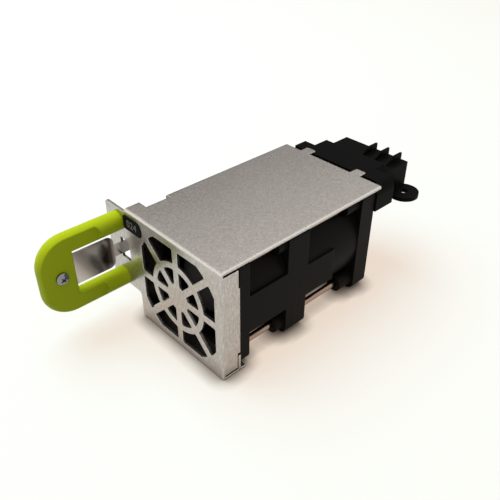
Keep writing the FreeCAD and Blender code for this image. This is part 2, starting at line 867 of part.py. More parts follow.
def make_stator(fan):
    """The laminated core on the bearing tube, its coils and the drive board below it."""
    core_top = core_bottom + s.core_length
    core = make_ring(fan, "stator_core", core_bottom, core_top, core_yoke_width, core_bore)
    radius = core_width / 2
    half_pole, half_shoe = s.pole_width / 2, core_width * s.shoe_share / 2
    face = other_leg(radius, half_shoe)
    pole = [
        (core_yoke_width * 0.45, -half_pole), (face - s.pole_shoe, -half_pole),
        (face - s.pole_shoe, -half_shoe), (face, -half_shoe), (face, half_shoe),
        (face - s.pole_shoe, half_shoe), (face - s.pole_shoe, half_pole),
        (core_yoke_width * 0.45, half_pole),
    ]
    first = extrude(core, "XY", core_bottom, core_top, [(pole, {3: radius})])
    doc.recompute()
    repeat_round(core, [first], s.pole_count)
    fan.keep(core)

    coils = fan.part("coils")
    inner = half_pole + s.stack_fit
    outer = inner + s.coil_wall
    low, high = core_bottom - s.stack_fit, core_top + s.stack_fit
    winding = [rectangle(-outer, outer, low - s.coil_wall, high + s.coil_wall),
               rectangle(-inner, inner, low, high)]
    first = extrude(coils, "YZ", core_yoke_width / 2 + s.coil_gap,
                    face - s.pole_shoe - s.coil_gap, winding)
    doc.recompute()
    repeat_round(coils, [first], s.pole_count)
    fan.keep(coils)

    board_bottom = base_top + s.board_clearance
    fan.keep(make_ring(fan, "drive_board", board_bottom, board_bottom + s.board_wall,
                       hub_inner - s.board_margin * 2, core_bore))


doc.recompute()
for fan in (front_fan, rear_fan):
    make_frame(fan)
    make_impeller(fan)
    make_rotor_motor(fan)
    make_bearings(fan)
    make_stator(fan)


# ------------------------------------------------------------------- rivets and holder

holder_front = stack_end + s.holder_gap
arm_end = holder_front + s.arm_length
shoulder_end = holder_front + s.shoulder_length
deck_end = holder_front + s.deck_length
nose_end = holder_front + s.nose_reach
nose_top = half_height - s.nose_step
nose_bottom = nose_top - s.nose_height
holder_bottom = half_height - s.holder_depth
holder_right = s.fan_side / 2 + s.holder_side


def make_rivets(label, side, ends):
    """A pair of long rivets, given as (side across, rear end) for each."""
    body = new_body(label)
    for across, end in ends:
        x, z = rod_reach * across, rod_reach * side
        extrude(body, "XZ", s.plenum, end, [(x, z, s.rod_width)])
        extrude(body, "XZ", s.plenum - s.rivet_head_height, s.plenum, [(x, z, s.rivet_head_width)])
        extrude(body, "XZ", end, end + s.rivet_head_height, [(x, z, s.rivet_head_width)])
    keep(body)


make_rivets("lower_rivets", -1, [(-1, stack_end), (1, stack_end)])
make_rivets("upper_rivets", 1, [(-1, shoulder_end), (1, arm_end)])

socket_floor = nose_end - s.socket_depth
plug_end = nose_end - s.plug_setback


def make_holder():
    """Moulded holder: deck and arms against the fan, stepped nose, fins and eyelet."""
    body = new_body("connector_holder")
    top = half_height
    plan = [
        (-holder_right, holder_front), (holder_right, holder_front), (holder_right, arm_end),
        (s.deck_right, arm_end), (s.deck_right, deck_end), (s.deck_left, deck_end),
        (s.deck_left, shoulder_end), (-holder_right, shoulder_end),
    ]
    extrude(body, "XY", holder_bottom, top, [plan])

    def is_arm_edge(edge):
        middle = middle_of(edge)
        return edge_along(edge, "y") and near(middle.x, holder_right) and near(middle.z, top)

    round_edges(body, s.arm_round, is_arm_edge)
    nose = rectangle(s.nose_left, s.nose_right, arm_end, nose_end)
    extrude(body, "XY", nose_bottom, nose_top, [nose])
    facet = [(s.deck_right, nose_top), (s.nose_right, nose_top), (s.deck_right, top)]
    extrude(body, "XZ", arm_end, deck_end, [facet])
    fin = [
        (nose_end - s.fin_length, nose_top), (nose_end, nose_top), (nose_end, top),
        (nose_end - s.fin_length + s.fin_slope, top),
    ]
    for number in range(int(s.fin_count.number)):
        middle = s.nose_right - s.fin_inset - s.fin_pitch * number
        extrude(body, "YZ", middle - s.fin_wall / 2, middle + s.fin_wall / 2, [fin])
    eyelet_x = s.nose_right + s.eyelet_outset
    eyelet_y = nose_end - s.eyelet_inset
    extrude(body, "XY", nose_bottom, nose_bottom + s.eyelet_wall,
            [(eyelet_x, eyelet_y, s.eyelet_width)])

    lip = rectangle(-holder_right, holder_right, holder_front, top_end + s.holder_lip_gap)
    plate_under = top - s.sheet_wall
    extrude(body, "XY", plate_under, top, [lip], cut=True)
    notches = []
    for side in (-0.5, 0.5):
        hook = s.hook_centre + s.hook_spacing * side
        half = s.hook_width / 2 + s.notch_play
        notches.append(rectangle(hook - half, hook + half, holder_front,
                                 hook_end + s.notch_play))
    extrude(body, "XY", plate_under, top, notches, cut=True)
    head_room = s.rivet_head_width / 2 + s.rivet_head_play
    hollow = rectangle(s.deck_left + s.holder_wall, s.deck_right - s.holder_wall,
                       holder_front + s.holder_wall, arm_end)
    extrude(body, "XY", holder_bottom, plate_under - s.holder_wall, [hollow], cut=True)
    channel = rectangle(s.nose_left + s.socket_wall + s.plug_wall,
                        s.nose_right - s.socket_wall - s.plug_wall,
                        nose_bottom + s.socket_wall + s.plug_wall,
                        nose_top - s.socket_wall - s.plug_wall)
    extrude(body, "XZ", arm_end, socket_floor, [channel], cut=True)
    socket = rectangle(s.nose_left + s.socket_wall, s.nose_right - s.socket_wall,
                       nose_bottom + s.socket_wall, nose_top - s.socket_wall)
    extrude(body, "XZ", socket_floor, nose_end, [socket], cut=True)
    extrude(body, "XY", nose_bottom, nose_bottom + s.eyelet_wall,
            [(eyelet_x, eyelet_y, s.eyelet_hole)], cut=True)
    for across, end in ((-1, shoulder_end), (1, arm_end)):
        x = rod_reach * across
        hole = (x, rod_reach, s.rod_width + s.rod_clearance * 2)
        extrude(body, "XZ", holder_front, end, [hole], cut=True)
        extrude(body, "XZ", end, deck_end, [(x, rod_reach, head_room * 2)], cut=True)
    keep(body)


def make_connector():
    """The insulator in the holder's rear socket and its two rows of pin contacts."""
    play = s.stack_fit
    left, right = s.nose_left + s.socket_wall + play, s.nose_right - s.socket_wall - play
    bottom, top = nose_bottom + s.socket_wall + play, nose_top - s.socket_wall - play
    body = new_body("connector_body")
    extrude(body, "XZ", socket_floor, plug_end, [rectangle(left, right, bottom, top)])
    mouth = rectangle(left + s.plug_wall, right - s.plug_wall, bottom + s.plug_wall,
                      top - s.plug_wall)
    extrude(body, "XZ", socket_floor + s.plug_back_wall, plug_end, [mouth], cut=True)
    middle_x, middle_z = (left + right) / 2, (bottom + top) / 2
    columns = int(s.contact_count.number)
    holes, pins = [], []
    for column in range(columns):
        for row in (-0.5, 0.5):
            x = middle_x + s.contact_pitch * (column - (columns - 1) / 2)
            z = middle_z + s.contact_row_pitch * row
            half = s.contact_width / 2
            pins.append(rectangle(x - half, x + half, z - half, z + half))
            half = half + play
            holes.append(rectangle(x - half, x + half, z - half, z + half))
    extrude(body, "XZ", socket_floor, socket_floor + s.plug_back_wall, holes, cut=True)
    keep(body)
    contacts = new_body("connector_contacts")
    extrude(contacts, "XZ", socket_floor, socket_floor + s.contact_length, pins)
    keep(contacts)


make_holder()
make_connector()


# -------------------------------------------------------------------- loop and latch

upper_arm = s.loop_z + s.arm_spacing / 2
lower_arm = s.loop_z - s.arm_spacing / 2
loop_front = -s.loop_reach
bar_middle = loop_front + s.arm_width / 2
web_end = loop_front + s.web_depth
clamp_y = loop_front + s.clamp_inset
slot_front = loop_front + s.bar_wall
leaf_front = slot_front + s.leaf_slot_side_play
recess_plane = loop_x + s.arm_width / 2 - s.recess_depth
leaf_left = leaf_x - s.leaf_wall / 2
leaf_right = leaf_x + s.leaf_wall / 2
leaf_top = s.leaf_z + s.leaf_height / 2
leaf_bottom = s.leaf_z - s.leaf_height / 2
shank_tip = recess_plane - s.clamp_length


def make_finger_loop():
    """A round bar bent into a U, webbed and slotted at the front to hold the leaf."""
    body = new_body("finger_loop")
    path = new_sketch(body, "YZ", loop_x)
    corner = bar_middle + s.loop_corner
    line = [
        (0, upper_arm), (corner, upper_arm), (bar_middle, upper_arm - s.loop_corner),
        (bar_middle, lower_arm + s.loop_corner), (corner, lower_arm), (0, lower_arm),
    ]
    draw_loop(path, line, {1: s.loop_corner, 3: s.loop_corner}, closed=False)
    profile = new_sketch(body, "XZ", 0)
    draw_circle(profile, loop_x, upper_arm, s.arm_width)
    doc.recompute()
    bar = body.newObject("PartDesign::AdditivePipe", "finger_loop_bar")
    bar.Profile = profile
    bar.Spine = (path, ["Edge%d" % (number + 1) for number in range(len(line) - 1)])
    doc.recompute()

    web = rectangle(bar_middle, web_end, lower_arm, upper_arm)
    extrude(body, "YZ", loop_x - s.arm_width / 2 + s.bar_left_relief, recess_plane, [web])
    recess_end = -s.recess_gap - s.arm_width / 2
    recess = rectangle(loop_front, recess_end, lower_arm - s.arm_width, upper_arm + s.arm_width)
    extrude(body, "YZ", recess_plane, recess_plane + s.arm_width, [recess], cut=True)
    rounds = [(recess_end, arm, s.arm_width) for arm in (upper_arm, lower_arm)]
    extrude(body, "YZ", recess_plane, recess_plane + s.arm_width, rounds, cut=True)
    slot = rectangle(leaf_left - s.leaf_slot_play, leaf_right + s.leaf_slot_play,
                     leaf_bottom - s.leaf_slot_side_play, leaf_top + s.leaf_slot_side_play)
    extrude(body, "XZ", slot_front, web_end, [slot], cut=True)
    extrude(body, "YZ", shank_tip, recess_plane,
            [(clamp_y, s.leaf_z, s.clamp_shank + s.stack_fit * 2)], cut=True)
    pilots = [(loop_x, arm, s.loop_screw_shank + s.stack_fit * 2)
              for arm in (upper_arm, lower_arm)]
    extrude(body, "XZ", -s.loop_screw_depth, 0, pilots, cut=True)
    keep(body)


def make_screws():
    """The screw that clamps the leaf and the two that hold the loop to the ear."""
    clamp = new_body("clamp_screw")
    extrude(clamp, "YZ", shank_tip, recess_plane, [(clamp_y, s.leaf_z, s.clamp_shank)])
    extrude(clamp, "YZ", recess_plane, recess_plane + s.clamp_head_height,
            [(clamp_y, s.leaf_z, s.clamp_head)])
    keep(clamp)
    screws = new_body("loop_screws")
    head_start = s.sheet_wall
    for arm in (upper_arm, lower_arm):
        extrude(screws, "XZ", -s.loop_screw_depth, head_start,
                [(loop_x, arm, s.loop_screw_shank)])
        extrude(screws, "XZ", head_start, head_start + s.loop_screw_head_height,
                [(loop_x, arm, s.loop_screw_head)])
    keep(screws)


def make_leaf():
    """Spring-steel leaf: clamped in the loop, necked through the ear, bent to a catch."""
    body = new_body("latch_leaf")
    shoulder = -s.leaf_shoulder_gap
    drop = s.catch_depth
    outline = [
        (leaf_left, leaf_front), (leaf_right, leaf_front), (leaf_right, s.catch_start),
        (leaf_right - drop, s.catch_peak), (leaf_right, s.catch_end), (leaf_left, s.catch_end),
        (leaf_left - drop, s.catch_peak), (leaf_left, s.catch_start),
    ]
    extrude(body, "XY", leaf_bottom, leaf_top, [outline])
    half_neck, half_catch = s.neck_height / 2, s.catch_height / 2
    sides = []
    for side, edge in ((1, leaf_top), (-1, leaf_bottom)):
        corners = [
            (shoulder, edge), (shoulder, s.leaf_z + half_neck * side),
            (s.catch_start, s.leaf_z + half_neck * side),
            (s.catch_start, s.leaf_z + half_catch * side),
            (s.catch_end, s.leaf_z + half_catch * side), (s.catch_end, edge),
        ]
        sides.append(corners if side > 0 else corners[::-1])
    extrude(body, "YZ", leaf_left - drop, leaf_right, sides, cut=True)

    def is_shoulder(edge):
        middle = middle_of(edge)
        outer = near(middle.z, leaf_top) or near(middle.z, leaf_bottom)
        return edge_along(edge, "x") and outer and near(middle.y, shoulder)

    round_edges(body, s.shoulder_round, is_shoulder)
    extrude(body, "YZ", leaf_left, leaf_right,
            [(clamp_y, s.leaf_z, s.clamp_shank + s.screw_play * 2)], cut=True)
    keep(body)


make_finger_loop()
make_screws()
make_leaf()


# --------------------------------------------------------------------------- export


doc.recompute()
for item in doc.Objects:
    for state in item.State:
        if state in ("Invalid", "Error"):
            raise RuntimeError("%s is in state %s" % (item.Label, state))
os.makedirs("parts", exist_ok=True)
for piece in PIECES:
    if piece.Shape.isNull() or not piece.Shape.isValid():
        raise RuntimeError("%s has no valid shape" % piece.Label)
    piece.Shape.exportStep("parts/%s.step" % piece.Label)
    print("%-26s %d solids %9.2f mm3" % (piece.Label, len(piece.Shape.Solids), piece.Shape.Volume))
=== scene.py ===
import math

import bmesh
import bpy
from mathutils import Euler, Matrix, Vector


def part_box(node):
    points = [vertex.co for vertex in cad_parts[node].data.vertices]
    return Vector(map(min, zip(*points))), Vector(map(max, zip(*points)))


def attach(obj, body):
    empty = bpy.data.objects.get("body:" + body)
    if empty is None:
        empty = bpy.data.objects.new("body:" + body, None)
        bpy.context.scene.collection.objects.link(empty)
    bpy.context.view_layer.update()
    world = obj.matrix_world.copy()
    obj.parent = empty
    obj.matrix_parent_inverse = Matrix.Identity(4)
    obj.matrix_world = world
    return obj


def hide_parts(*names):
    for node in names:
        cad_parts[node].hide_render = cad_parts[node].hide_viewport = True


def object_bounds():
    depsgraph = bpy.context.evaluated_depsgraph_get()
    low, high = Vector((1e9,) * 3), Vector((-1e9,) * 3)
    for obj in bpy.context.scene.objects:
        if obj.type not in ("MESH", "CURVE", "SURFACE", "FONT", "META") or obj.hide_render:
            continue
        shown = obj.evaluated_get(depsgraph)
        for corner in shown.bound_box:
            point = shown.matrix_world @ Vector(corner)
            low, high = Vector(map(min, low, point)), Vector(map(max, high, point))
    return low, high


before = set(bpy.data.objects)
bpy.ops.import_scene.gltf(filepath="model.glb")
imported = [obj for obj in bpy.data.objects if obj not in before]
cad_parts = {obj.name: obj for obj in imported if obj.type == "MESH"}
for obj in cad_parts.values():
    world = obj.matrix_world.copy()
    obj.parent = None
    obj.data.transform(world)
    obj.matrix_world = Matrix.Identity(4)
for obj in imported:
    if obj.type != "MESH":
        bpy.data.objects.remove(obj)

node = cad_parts
cad_box = [list(corner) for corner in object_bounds()]


# ---------------------------------------------------------------- table, light, camera
# The module lies on a plain pale table under a soft window above its left side.  Only the
# ceiling and the low front left of the sky are bright, and light that bounces is dimmer
# than what the eye and polished metal see.  Close under the module a contact shadow is painted on the
# table.

table_top = cad_box[0][2]
table_half = 1.5
table_seen = (0.17, 0.32, 0.40)
table_glow = (1.0, 0.790, 0.625)
glow_level = 0.770
painted_contact_shadow = (0.20, 0.165, 0.135)
table_bounce = (0.30, 0.285, 0.27)
painted_shadow_reach = 0.0055
painted_shadow_power = 2.2

sky_seen = (1.0, 1.0, 0.97)
bright_side = (1.0, 0.98, 0.96)
dim_side = (0.02, 0.02, 0.03)
bounce_bright = (0.54, 0.515, 0.495)
bounce_dim = (0.12, 0.115, 0.125)
ceiling_way = (0.507, 0.0, 0.862)
front_left_way = (-0.78, -0.62, 0.0)

scene = bpy.context.scene
scene.view_settings.view_transform = "Standard"


def add_node(tree, kind, wires, **settings):
    """Adds a node, sets its properties, and joins or fills its inputs by name or number."""
    made = tree.nodes.new(kind)
    for name, value in settings.items():
        setattr(made, name, value)
    for label, value in wires.items():
        if isinstance(value, bpy.types.NodeSocket):
            tree.links.new(value, made.inputs[label])
        else:
            made.inputs[label].default_value = value
    return made


def maths(tree, operation, first, second=0.0):
    """A math node whose two inputs are sockets or plain numbers; gives its output."""
    return add_node(tree, "ShaderNodeMath", {0: first, 1: second}, operation=operation).outputs[0]


def mixed(tree, first, second, share):
    """Mixes two colours, given as sockets or plain colours; gives the result."""
    wires = {"Factor": share}
    for label, value in (("A", first), ("B", second)):
        wires[label] = (*value, 1.0) if isinstance(value, tuple) else value
    return add_node(tree, "ShaderNodeMix", wires, data_type="RGBA").outputs["Result"]


def ramp(tree, value, low, high, top=1.0):
    """Takes a value from between low and high to between 0 and top, and no further."""
    wires = {"Value": value, "From Min": low, "From Max": high, "To Max": top}
    return add_node(tree, "ShaderNodeMapRange", wires).outputs["Result"]


def toward(tree, direction, centre, low, high):
    """A share that rises from 0 to 1 as a direction turns to a centre."""
    dot = add_node(tree, "ShaderNodeVectorMath", {0: direction, 1: centre}, operation="DOT_PRODUCT")
    return ramp(tree, dot.outputs["Value"], low, high)


def seen_directly(tree):
    """A 0 to 1 value: 1 for camera, glossy and transmission rays, 0 for bounced light."""
    path = add_node(tree, "ShaderNodeLightPath", {}).outputs
    shiny = maths(tree, "MAXIMUM", path["Is Glossy Ray"], path["Is Transmission Ray"])
    return maths(tree, "MAXIMUM", path["Is Camera Ray"], shiny)


table_paint = bpy.data.materials.new("pale_table")
table_paint.use_nodes = True
paint_tree = table_paint.node_tree
surface = paint_tree.nodes["Principled BSDF"].inputs
surface["Roughness"].default_value = 0.9
surface["Specular IOR Level"].default_value = 0.1
surface["Emission Color"].default_value = (*table_glow, 1.0)
seen = seen_directly(paint_tree)
# Painted contact shadow: ambient occlusion darkens the table's colour and dims its glow under the
# module.
contact = add_node(paint_tree, "ShaderNodeAmbientOcclusion", {"Distance": painted_shadow_reach})
open_share = maths(paint_tree, "POWER", contact.outputs["AO"], painted_shadow_power)
table_colour = mixed(paint_tree, table_bounce, table_seen, seen)
table_colour = mixed(paint_tree, painted_contact_shadow, table_colour, open_share)
paint_tree.links.new(table_colour, surface["Base Color"])
glow = maths(paint_tree, "MULTIPLY", seen, maths(paint_tree, "MULTIPLY", open_share, glow_level))
paint_tree.links.new(glow, surface["Emission Strength"])

signs = ((-1, -1), (1, -1), (1, 1), (-1, 1))
corners = [(x * table_half, y * table_half, table_top) for x, y in signs]
table_mesh = bpy.data.meshes.new("table")
table_mesh.from_pydata(corners, [], [(0, 1, 2, 3)])
table_mesh.materials.append(table_paint)
table = bpy.data.objects.new("table", table_mesh)
scene.collection.objects.link(table)

world = bpy.data.worlds.new("studio")
world.use_nodes = True
scene.world = world
sky = world.node_tree
direction = add_node(sky, "ShaderNodeTexCoord", {}).outputs["Generated"]
bright_share = maths(sky, "MAXIMUM", toward(sky, direction, ceiling_way, low=0.04, high=0.17),
                     toward(sky, direction, front_left_way, low=0.30, high=0.65))
bounced = mixed(sky, bounce_dim, bounce_bright, bright_share)
reflected = mixed(sky, dim_side, bright_side, bright_share)
sky_colour = mixed(sky, bounced, reflected, seen_directly(sky))
to_camera = add_node(sky, "ShaderNodeLightPath", {}).outputs["Is Camera Ray"]
sky_colour = mixed(sky, sky_colour, sky_seen, to_camera)
sky.links.new(sky_colour, sky.nodes["Background"].inputs["Color"])
sky.nodes["Background"].inputs["Strength"].default_value = 1.0

window_light = bpy.data.lights.new("window", "AREA")
window_light.size = 0.8
window_light.energy = 9.0
window_light.color = (1.0, 0.985, 0.955)
window = bpy.data.objects.new("window", window_light)
window.location = (-0.38, -0.05, 0.80)
module_middle = Vector((0, 0.035, 0))
window.rotation_euler = (module_middle - window.location).to_track_quat("-Z", "Y").to_euler()
window.visible_glossy = False
scene.collection.objects.link(window)

lens = bpy.data.cameras.new("camera")
lens.lens = 44.079
lens.sensor_width = 36.0
lens.clip_start = 0.005
camera = bpy.data.objects.new("camera", lens)
camera.location = (0.122808, -0.084989, 0.123077)
camera.rotation_euler = [math.radians(angle) for angle in (54.7069, -0.2578, 46.7927)]
scene.collection.objects.link(camera)
scene.camera = camera


# ------------------------------------------------------------------------- bracket
# The body of the module: galvanised sheet, cut and bent from one blank.  Its zinc shows
# a small spangle and rolled grain.  Its cut edges and upward-facing bends carry a painted
# highlight, and painted shade darkens it where the sheet closes in on itself.


def new_group(name, inputs, outputs):
    """A shader node group with float inputs and named outputs, and its two end nodes."""
    group = bpy.data.node_groups.new(name, "ShaderNodeTree")
    for label, value in inputs.items():
        socket = group.interface.new_socket(label, in_out="INPUT", socket_type="NodeSocketFloat")
        socket.default_value = value
    for label, kind in outputs.items():
        group.interface.new_socket(label, in_out="OUTPUT", socket_type=kind)
    return group, group.nodes.new("NodeGroupInput").outputs, group.nodes.new("NodeGroupOutput")


def make_edge_group():
    """Finds edges: a mask that is 1 on them, and a normal that rounds them."""
    group, given, end = new_group("rounded_edges", {"Radius": 0.0003, "Contrast": 3.0},
                                  {"Edge": "NodeSocketFloat", "Normal": "NodeSocketVector"})
    bevel = add_node(group, "ShaderNodeBevel", {"Radius": given["Radius"]}, samples=4).outputs["Normal"]
    flat = add_node(group, "ShaderNodeNewGeometry", {}).outputs["Normal"]
    dot = add_node(group, "ShaderNodeVectorMath", {0: bevel, 1: flat}, operation="DOT_PRODUCT")
    turned = maths(group, "SUBTRACT", 1.0, dot.outputs["Value"])
    sharp = maths(group, "MULTIPLY", turned, given["Contrast"])
    mask = add_node(group, "ShaderNodeClamp", {"Value": sharp})
    group.links.new(mask.outputs["Result"], end.inputs["Edge"])
    group.links.new(bevel, end.inputs["Normal"])
    return group


def make_grain_group():
    """Moulded or rolled grain: a fine height, broad blotches and sparse specks."""
    group, given, end = new_group(
        "surface_grain", {"Grain Scale": 2500.0, "Blotch Scale": 60.0, "Speck Scale": 900.0},
        {"Height": "NodeSocketFloat", "Blotch": "NodeSocketFloat", "Speck": "NodeSocketFloat"})
    place = add_node(group, "ShaderNodeTexCoord", {}).outputs["Object"]
    noise = {}
    for label, detail in (("Grain Scale", 3.0), ("Blotch Scale", 4.0), ("Speck Scale", 1.0)):
        wires = {"Vector": place, "Scale": given[label], "Detail": detail}
        noise[label] = add_node(group, "ShaderNodeTexNoise", wires).outputs["Fac"]
    group.links.new(noise["Grain Scale"], end.inputs["Height"])
    group.links.new(noise["Blotch Scale"], end.inputs["Blotch"])
    group.links.new(ramp(group, noise["Speck Scale"], low=0.68, high=0.78), end.inputs["Speck"])
    return group


def make_lines_group():
    """Lines of rolling or drawing: noise drawn out along each axis with a share under 1."""
    group, given, end = new_group("drawn_lines", {"Scale": 2500.0, "X": 1.0, "Y": 1.0, "Z": 1.0},
                                  {"Lines": "NodeSocketFloat"})
    place = add_node(group, "ShaderNodeTexCoord", {}).outputs["Object"]
    shares = add_node(group, "ShaderNodeCombineXYZ", {axis: given[axis] for axis in "XYZ"})
    drawn = add_node(group, "ShaderNodeMapping", {"Vector": place, "Scale": shares.outputs["Vector"]})
    noise = add_node(group, "ShaderNodeTexNoise",
                     {"Vector": drawn.outputs["Vector"], "Scale": given["Scale"], "Detail": 2.0})
    group.links.new(noise.outputs["Fac"], end.inputs["Lines"])
    return group


edge_group = make_edge_group()
grain_group = make_grain_group()
lines_group = make_lines_group()


class Finish:
    """A procedural material: base colour with blotches, specks and a painted highlight on edges.

    grain is its scale and depth, speck its scale and strength, and edge the radius,
    contrast and strength of the painted edge highlight.
    """

    def __init__(self, name, colour, blotch_colour, speck_and_edge_highlight_colour, roughness, metallic=0.0,
                 specular=0.5, grain=(2500.0, 0.02), blotch_scale=60.0, speck=(900.0, 0.0),
                 edge=(0.0003, 3.0, 0.5), roughness_swing=0.1):
        self.material = bpy.data.materials.new(name)
        self.material.use_nodes = True
        self.tree = self.material.node_tree
        self.shader = self.tree.nodes["Principled BSDF"]
        self.shader.inputs["Metallic"].default_value = metallic
        self.shader.inputs["Specular IOR Level"].default_value = specular
        scales = {"Grain Scale": grain[0], "Blotch Scale": blotch_scale, "Speck Scale": speck[0]}
        grains = add_node(self.tree, "ShaderNodeGroup", scales, node_tree=grain_group).outputs
        edges = add_node(self.tree, "ShaderNodeGroup", {"Radius": edge[0], "Contrast": edge[1]},
                         node_tree=edge_group).outputs
        self.colour = mixed(self.tree, colour, blotch_colour, grains["Blotch"])
        if speck[1]:
            self.tint(speck_and_edge_highlight_colour, self.maths("MULTIPLY", grains["Speck"], speck[1]))
        self.speck_and_edge_highlight_colour = speck_and_edge_highlight_colour
        self.edge_highlight_mask = self.maths("MULTIPLY", edges["Edge"], edge[2])
        self.edge_normal = edges["Normal"]
        self.height = grains["Height"]
        self.depth = grain[1]
        swing = self.maths("MULTIPLY", grains["Blotch"], roughness_swing)
        self.roughness = self.maths("ADD", swing, roughness - roughness_swing / 2)

    def maths(self, operation, first, second=0.0):
        """A math node in this material; gives its output."""
        return maths(self.tree, operation, first, second)

    def tint(self, colour, mask):
        """Lays a colour over what is there, as far as the mask says."""
        self.colour = mixed(self.tree, self.colour, colour, mask)

    def coordinate(self, name):
        """A texture coordinate of the piece, such as Object or Normal."""
        return add_node(self.tree, "ShaderNodeTexCoord", {}).outputs[name]

    def lines(self, scale, axis, share):
        """Lines of rolling or drawing along an axis; gives their value."""
        wires = {"Scale": scale, axis: share}
        return add_node(self.tree, "ShaderNodeGroup", wires, node_tree=lines_group).outputs["Lines"]

    def done(self):
        """Joins the colour, roughness and bump to the shader; gives the material."""
        # Painted highlight: the edges are tinted lighter by the edge mask.
        self.tint(self.speck_and_edge_highlight_colour, self.edge_highlight_mask)
        bump = add_node(self.tree, "ShaderNodeBump",
                        {"Distance": 0.0001, "Strength": self.depth, "Height": self.height,
                         "Normal": self.edge_normal})
        for label, value in (("Base Color", self.colour), ("Roughness", self.roughness),
                             ("Normal", bump.outputs["Normal"])):
            self.tree.links.new(value, self.shader.inputs[label])
        return self.material


def dress(material, *names):
    """Gives CAD pieces, which stay as they are, their real surface."""
    for name in names:
        node[name].data.materials.clear()
        node[name].data.materials.append(material)


sheet = Finish("galvanised_sheet", (0.480, 0.442, 0.412), (0.553, 0.514, 0.481), (0.93, 0.90, 0.86),
               roughness=0.28, metallic=0.90, grain=(3000.0, 0.20), blotch_scale=35.0,
               speck=(2300.0, 0.60), edge=(0.00040, 3.0, 0.75), roughness_swing=0.12)

spangle_colour, spangle_strength = (0.72, 0.69, 0.655), 0.42
spangle = add_node(sheet.tree, "ShaderNodeTexVoronoi",
                   {"Vector": sheet.coordinate("Object"), "Scale": 1500.0})
tone = add_node(sheet.tree, "ShaderNodeSeparateColor", {"Color": spangle.outputs["Color"]})
sheet.tint(spangle_colour, sheet.maths("MULTIPLY", tone.outputs["Red"], spangle_strength))

grain_colour, grain_strength = (0.20, 0.180, 0.165), 0.36
rolled_grain = sheet.lines(2500.0, "Z", 0.16)
sheet.tint(grain_colour, ramp(sheet.tree, rolled_grain, low=0.36, high=0.64, top=grain_strength))

# Painted highlight along the bends, kept to bends that face partly upward.
bend_highlight_colour, bend_highlight_strength = (0.95, 0.93, 0.90), 0.50
level_gain = 3.0
facing = add_node(sheet.tree, "ShaderNodeSeparateXYZ", {"Vector": sheet.coordinate("Normal")})
faces_along = {}
squareness = 0.0
for axis in "XYZ":
    faces_along[axis] = sheet.maths("ABSOLUTE", facing.outputs[axis])
    squareness = sheet.maths("MAXIMUM", faces_along[axis], squareness)
bend_highlight_mask = ramp(sheet.tree, squareness, low=0.98, high=0.78, top=bend_highlight_strength)
level_share = sheet.maths("MINIMUM", sheet.maths("MULTIPLY", faces_along["Z"], level_gain), 1.0)
sheet.tint(bend_highlight_colour, sheet.maths("MULTIPLY", bend_highlight_mask, level_share))

# Painted shade: the zinc is darkened where ambient occlusion finds the sheet closing in on itself.
painted_shade_colour, painted_shade_strength = (0.030, 0.028, 0.027), 0.90
painted_shade_reach = 0.025
inside = add_node(sheet.tree, "ShaderNodeAmbientOcclusion", {"Distance": painted_shade_reach}, only_local=True)
closed_in = sheet.maths("SUBTRACT", 1.0, inside.outputs["AO"])
sheet.tint(painted_shade_colour, ramp(sheet.tree, closed_in, low=0.12, high=0.60, top=painted_shade_strength))
dress(sheet.done(), "bracket")


# -------------------------------------------------------------------- number panel
# A black film panel stuck beside the grille.  It carries only a plain bay number, in
# pale printed figures that stand a few hundredths of a millimetre proud of the film.

film = Finish("panel_film", (0.0045, 0.0045, 0.0050), (0.0075, 0.0075, 0.0080), (0.04, 0.04, 0.04),
              roughness=0.58, specular=0.05, grain=(5000.0, 0.03), edge=(0.0002, 2.0, 0.4))
dress(film.done(), "number_panel")

ink = Finish("pale_ink", (0.27, 0.265, 0.25), (0.20, 0.195, 0.185), (0.30, 0.29, 0.27),
             roughness=0.6, specular=0.2, grain=(6000.0, 0.05), edge=(0.0001, 1.0, 0.2))
figures = bpy.data.curves.new("bay_number", "FONT")
figures.body = "024"
figures.size = 0.0037
figures.align_x = "CENTER"
figures.align_y = "CENTER"
figures.extrude = 0.00002
figures.resolution_u = 4
written = bpy.data.objects.new("bay_number_curve", figures)
scene.collection.objects.link(written)
bpy.context.view_layer.update()
graph = bpy.context.evaluated_depsgraph_get()
number_mesh = bpy.data.meshes.new_from_object(written.evaluated_get(graph))
bpy.data.objects.remove(written)
panel_low, panel_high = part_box("number_panel")
middle = (panel_low + panel_high) / 2
film_face = panel_low.y - figures.extrude / 2
number_mesh.transform(Matrix.Translation((middle.x, film_face, middle.z))
                      @ Euler((math.radians(90), 0, 0)).to_matrix().to_4x4())
number_mesh.materials.clear()
number_mesh.materials.append(ink.done())
bay_number = bpy.data.objects.new("bay_number", number_mesh)
scene.collection.objects.link(bay_number)
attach(bay_number, "module")


# -------------------------------------------------------------- fan frames, impellers
# Glass-filled plastic mouldings, nearly black, with the fine spark texture of the mould
# on the housings and a smoother, glossier surface on the impellers.

housing = Finish("black_housing", (0.0044, 0.0038, 0.0033), (0.0076, 0.0066, 0.0058),
                 (0.034, 0.031, 0.028), roughness=0.52, specular=0.06, grain=(3000.0, 0.14),
                 blotch_scale=90.0, speck=(2200.0, 0.10), edge=(0.00045, 1.6, 0.55))
dress(housing.done(), "front_fan_frame", "rear_fan_frame")

blade = Finish("impeller_plastic", (0.0070, 0.0072, 0.0085), (0.0115, 0.0120, 0.0140),
               (0.040, 0.040, 0.042), roughness=0.34, specular=0.14, grain=(2400.0, 0.05),
               blotch_scale=120.0, edge=(0.0003, 1.6, 0.5))
dress(blade.done(), "front_impeller", "rear_impeller")


# ---------------------------------------------------------------- connector holder
# The same black moulding compound, a shade darker, and the paler insulator with its
# two rows of plated pins in the rear socket.  The spacer rings in the fans are plated
# like the pins.

